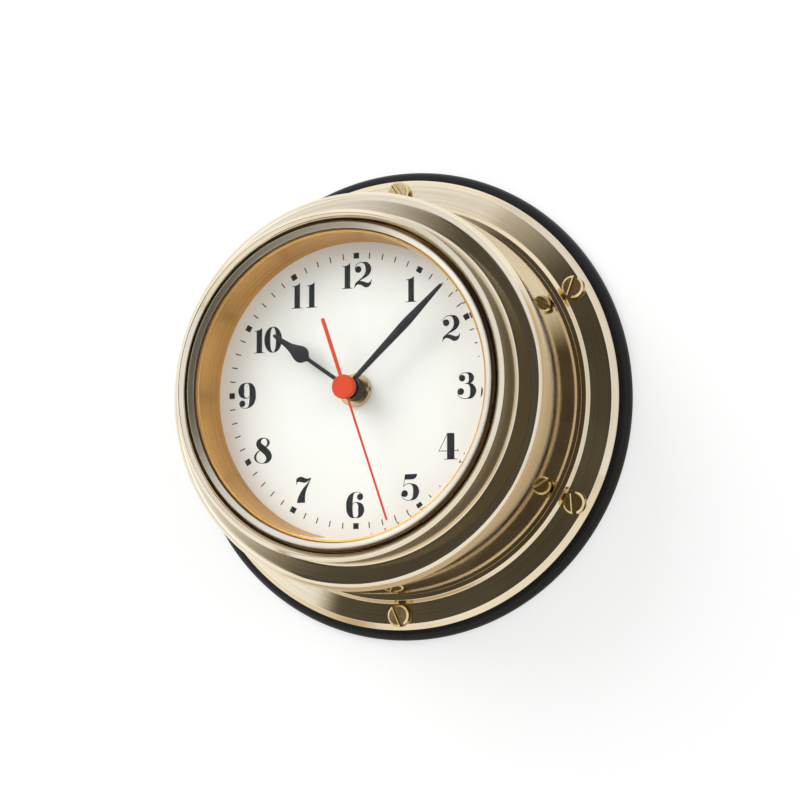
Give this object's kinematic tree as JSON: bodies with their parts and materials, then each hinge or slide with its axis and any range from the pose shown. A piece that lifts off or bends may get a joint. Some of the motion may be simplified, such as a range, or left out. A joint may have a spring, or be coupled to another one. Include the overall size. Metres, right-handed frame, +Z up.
{
  "type": "ships clock",
  "caption": "Wall-hung round ship's clock: turned brass case with slotted screws on a black backing ring, bevelled glass, white dial and a quartz movement.",
  "frame": {"origin": "on the clock's axis, in the plane of the wall that the back rests against", "axes": "+Y into the wall along the clock's axis, so the dial faces -Y; +Z up through twelve o'clock; +X to the right as seen from the front, through three o'clock"},
  "size_m": [0.174, 0.0707, 0.174],
  "materials": {
    "board_black": "matt black paint on a turned backing disc",
    "band_rubber": "matt black rubber with rounded edges",
    "case_brass": "pale champagne brass, turned and finely brushed round the axis, lacquered",
    "inner_ring_brass": "golden satin brass",
    "clear_glass": "clear plate glass, bevelled and polished",
    "seal_rubber": "soft black seal",
    "screw_brass": "yellow brass, turned, with a cut slot",
    "bare_steel": "plain bright steel",
    "dial_white": "warm white satin paint with printed charcoal numerals",
    "movement_black": "moulded black plastic",
    "battery_wrap": "plain glossy wrap, no print",
    "circuit_green": "solder-masked board",
    "coil_copper": "enamelled copper wire on a bobbin",
    "wheel_plastic": "natural white moulded plastic",
    "hand_charcoal": "satin charcoal lacquer",
    "hand_red": "satin orange-red lacquer"
  },
  "bodies": {
    "case": {"backing_board": "board_black", "edge_band": "band_rubber", "case_body": "case_brass", "bezel": "case_brass", "glass_retaining_ring": "case_brass", "inner_ring": "inner_ring_brass", "glass": "clear_glass", "glass_gasket": "seal_rubber", "flange_screw_1": "screw_brass", "flange_screw_2": "screw_brass", "flange_screw_3": "screw_brass", "flange_screw_4": "screw_brass", "flange_screw_5": "screw_brass", "flange_screw_6": "screw_brass", "hanger_plate": "bare_steel", "hanger_screw_1": "bare_steel", "hanger_screw_2": "bare_steel", "dial_plate": "dial_white", "rubber_washer": "seal_rubber", "threaded_bush": "screw_brass", "centre_nut": "bare_steel", "movement_front_shell": "movement_black", "movement_back_cover": "movement_black", "battery": "battery_wrap", "battery_contact_positive": "bare_steel", "battery_contact_negative": "bare_steel", "circuit_board": "circuit_green", "quartz_crystal": "bare_steel", "stator": "bare_steel", "coil": "coil_copper", "coil_core": "bare_steel"},
    "seconds": {"seconds_wheel": "bare_steel", "second_hand": "hand_red"},
    "rotor": {"rotor": "wheel_plastic"},
    "fifth": {"fifth_wheel": "wheel_plastic"},
    "third": {"third_wheel": "wheel_plastic"},
    "centre": {"centre_wheel": "wheel_plastic"},
    "minutes": {"cannon_pinion": "screw_brass", "minute_hand": "hand_charcoal"},
    "minute_motion": {"minute_wheel": "wheel_plastic"},
    "hours": {"hour_wheel": "wheel_plastic", "hour_hand": "hand_charcoal"},
    "setting": {"setting_knob": "movement_black"}
  },
  "joints": [
    {"name": "second_hand_turn", "type": "hinge", "parent": "case", "child": "seconds", "pos_m": [0, -0.0392, 0], "axis": [0, 1, 0], "continuous": true},
    {"name": "rotor_turn", "type": "hinge", "parent": "case", "child": "rotor", "pos_m": [0.01419, -0.0374, 0.00964], "axis": [0, 1, 0], "continuous": true},
    {"name": "fifth_wheel_turn", "type": "hinge", "parent": "case", "child": "fifth", "pos_m": [0.0088, -0.0374, 0.0032], "axis": [0, 1, 0], "continuous": true},
    {"name": "third_wheel_turn", "type": "hinge", "parent": "case", "child": "third", "pos_m": [-0.00649, -0.041, 0.00649], "axis": [0, 1, 0], "continuous": true},
    {"name": "centre_wheel_turn", "type": "hinge", "parent": "case", "child": "centre", "pos_m": [0, -0.0428, 0], "axis": [0, 1, 0], "continuous": true},
    {"name": "minute_hand_turn", "type": "hinge", "parent": "case", "child": "minutes", "pos_m": [0, -0.0446, 0], "axis": [0, 1, 0], "continuous": true},
    {"name": "minute_wheel_turn", "type": "hinge", "parent": "case", "child": "minute_motion", "pos_m": [-0.00789, -0.0446, -0.00287], "axis": [0, 1, 0], "continuous": true},
    {"name": "hour_hand_turn", "type": "hinge", "parent": "case", "child": "hours", "pos_m": [0, -0.0464, 0], "axis": [0, 1, 0], "continuous": true},
    {"name": "setting_knob_turn", "type": "hinge", "parent": "case", "child": "setting", "pos_m": [-0.01699, -0.0294, -0.00127], "axis": [0, 1, 0], "continuous": true}
  ],
  "couplings": [
    {"joint": "rotor_turn", "follows": "second_hand_turn", "ratio": 30},
    {"joint": "fifth_wheel_turn", "follows": "second_hand_turn", "ratio": -5},
    {"joint": "third_wheel_turn", "follows": "second_hand_turn", "ratio": -0.13333},
    {"joint": "centre_wheel_turn", "follows": "second_hand_turn", "ratio": 0.016667},
    {"joint": "minute_wheel_turn", "follows": "minute_hand_turn", "ratio": -0.33333},
    {"joint": "hour_hand_turn", "follows": "minute_hand_turn", "ratio": 0.083333},
    {"joint": "setting_knob_turn", "follows": "minute_hand_turn", "ratio": 0.71429}
  ]
}
